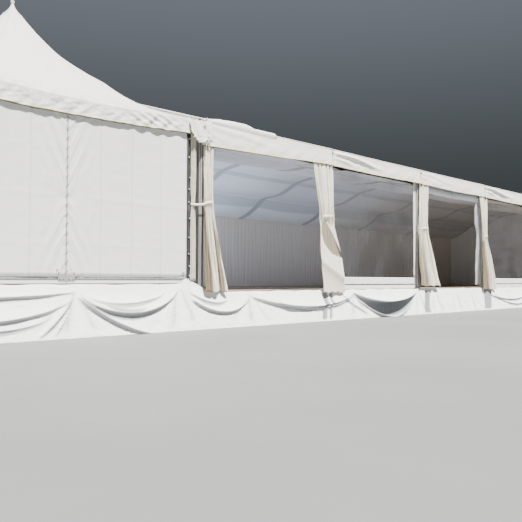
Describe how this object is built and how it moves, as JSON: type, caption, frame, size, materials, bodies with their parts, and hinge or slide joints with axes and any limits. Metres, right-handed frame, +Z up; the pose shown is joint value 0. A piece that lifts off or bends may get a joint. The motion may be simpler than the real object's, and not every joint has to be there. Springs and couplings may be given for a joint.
{
  "type": "marquee tent",
  "caption": "White event marquee: a high-peak tent joined to a long pitched hall with clear window bays and tied curtains, on a raised floor with a draped skirt.",
  "frame": {"origin": "centre of the marquee's bounding box at ground level", "axes": "+X along the front from the high-peak tent to the far gable, +Y from the front into the tent, +Z up"},
  "size_m": [22.5246, 6.4966, 4.8816],
  "materials": {
    "white_pvc": "coated fabric, soft sheen",
    "aluminium": "anodised satin",
    "steel": "galvanised",
    "clear_foil": "clear flexible foil",
    "curtain_cloth": "cream woven cloth",
    "lining_cloth": "thin pleated lining",
    "floor_boards": "brown coated boards",
    "skirt_cloth": "white draped cloth"
  },
  "bodies": {
    "root": {"curtain_1": "curtain_cloth", "curtain_2": "curtain_cloth", "curtain_3": "curtain_cloth", "curtain_4": "curtain_cloth", "curtain_5": "curtain_cloth", "curtain_6": "curtain_cloth", "curtain_7": "curtain_cloth", "front_eave_beam": "aluminium", "front_purlin": "aluminium", "gable_left": "white_pvc", "gable_right": "white_pvc", "gap_curtain": "curtain_cloth", "hall_floor": "floor_boards", "hall_frame_1": "aluminium", "hall_frame_2": "aluminium", "hall_frame_3": "aluminium", "hall_frame_4": "aluminium", "hall_frame_5": "aluminium", "hall_frame_6": "aluminium", "hall_frame_7": "aluminium", "hall_podium": "aluminium", "king_pole": "aluminium", "king_pole_cables": "steel", "peak_cap": "white_pvc", "peak_floor": "floor_boards", "peak_frame": "aluminium", "peak_podium": "aluminium", "peak_roof_front": "white_pvc", "peak_roof_left": "white_pvc", "peak_roof_rear": "white_pvc", "peak_roof_right": "white_pvc", "peak_wall_front_left": "white_pvc", "peak_wall_front_right": "white_pvc", "peak_wall_left": "white_pvc", "peak_wall_rear": "white_pvc", "rain_cover": "white_pvc", "rear_eave_beam": "aluminium", "rear_purlin": "aluminium", "rear_wall": "white_pvc", "rear_wall_lining": "lining_cloth", "ridge_beam": "aluminium", "rolled_window_3": "clear_foil", "rolled_window_5": "clear_foil", "roof_front_slope": "white_pvc", "roof_lining_front": "lining_cloth", "roof_lining_rear": "lining_cloth", "roof_rear_slope": "white_pvc", "skirt_front": "skirt_cloth", "skirt_left": "skirt_cloth", "skirt_peak_front": "skirt_cloth", "skirt_peak_left": "skirt_cloth", "skirt_peak_rear": "skirt_cloth", "skirt_rear": "skirt_cloth", "skirt_right": "skirt_cloth", "valance_front": "white_pvc", "valance_rear": "white_pvc", "window_bay_2": "clear_foil", "window_bay_4": "clear_foil", "window_bay_6": "clear_foil"}
  },
  "joints": []
}
